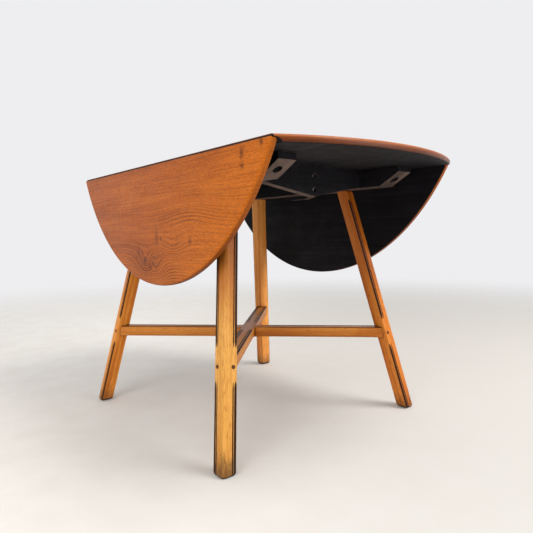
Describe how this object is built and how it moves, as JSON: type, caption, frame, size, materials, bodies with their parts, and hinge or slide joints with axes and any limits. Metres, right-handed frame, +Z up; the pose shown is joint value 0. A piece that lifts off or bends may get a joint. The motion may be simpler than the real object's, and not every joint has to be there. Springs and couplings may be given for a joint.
{
  "type": "drop-leaf dining table",
  "caption": "Oval drop-leaf dining table with rule-jointed leaves, fly brackets, splayed square legs and crossed diagonal stretchers pegged to the legs.",
  "frame": {"origin": "on the floor under the middle of the table", "axes": "+X across the leaves to the right, +Y along the hinge lines to the rear, +Z up"},
  "size_m": [0.695, 1.134, 0.715],
  "materials": {
    "elm_top": "satin lacquered elm on the upper faces and rim, black stain on the undersides",
    "black_wood": "matt black stain",
    "bracket_wood": "black stain worn to bare wood at the finger grip",
    "leg_wood": "satin lacquered honey beech",
    "stretcher_wood": "satin lacquered honey beech",
    "peg_wood": "dark stained pegs",
    "hinge_steel": "dull plated steel",
    "screw_steel": "bright plated steel"
  },
  "bodies": {
    "frame_body": {"bearer_screws": "screw_steel", "center_panel": "elm_top", "cross_stretcher": "stretcher_wood", "front_cross_rail": "black_wood", "front_left_leg": "leg_wood", "front_rail_block": "black_wood", "front_right_leg": "leg_wood", "left_bearer": "black_wood", "left_bracket_block": "black_wood", "left_bracket_pin": "hinge_steel", "left_bracket_screws": "screw_steel", "left_front_fixed_flap": "hinge_steel", "left_front_hinge_pin": "hinge_steel", "left_rear_fixed_flap": "hinge_steel", "left_rear_hinge_pin": "hinge_steel", "main_stretcher": "stretcher_wood", "panel_hinge_screws": "screw_steel", "rail_screws": "screw_steel", "rear_cross_rail": "black_wood", "rear_left_leg": "leg_wood", "rear_rail_block": "black_wood", "rear_right_leg": "leg_wood", "right_bearer": "black_wood", "right_bracket_block": "black_wood", "right_bracket_pin": "hinge_steel", "right_bracket_screws": "screw_steel", "right_front_fixed_flap": "hinge_steel", "right_front_hinge_pin": "hinge_steel", "right_rear_fixed_flap": "hinge_steel", "right_rear_hinge_pin": "hinge_steel", "stretcher_pegs": "peg_wood"},
    "left_bracket_body": {"left_bracket_arm": "bracket_wood"},
    "left_leaf_body": {"left_front_leaf_flap": "hinge_steel", "left_leaf": "elm_top", "left_leaf_hinge_screws": "screw_steel", "left_rear_leaf_flap": "hinge_steel"},
    "right_bracket_body": {"right_bracket_arm": "bracket_wood"},
    "right_leaf_body": {"right_front_leaf_flap": "hinge_steel", "right_leaf": "elm_top", "right_leaf_hinge_screws": "screw_steel", "right_rear_leaf_flap": "hinge_steel"}
  },
  "joints": [
    {"name": "left_leaf_hinge", "type": "hinge", "parent": "frame_body", "child": "left_leaf_body", "pos_m": [-0.305, 0, 0.7095], "axis": [0, 1, 0], "range_deg": [0, 90]},
    {"name": "right_leaf_hinge", "type": "hinge", "parent": "frame_body", "child": "right_leaf_body", "pos_m": [0.305, 0, 0.7095], "axis": [0, -1, 0], "range_deg": [0, 90]},
    {"name": "left_bracket_swing", "type": "hinge", "parent": "frame_body", "child": "left_bracket_body", "pos_m": [-0.244, 0.061, 0.673], "axis": [0, 0, -1], "range_deg": [0, 10]},
    {"name": "right_bracket_swing", "type": "hinge", "parent": "frame_body", "child": "right_bracket_body", "pos_m": [0.244, -0.061, 0.673], "axis": [0, 0, -1], "range_deg": [0, 10]}
  ]
}
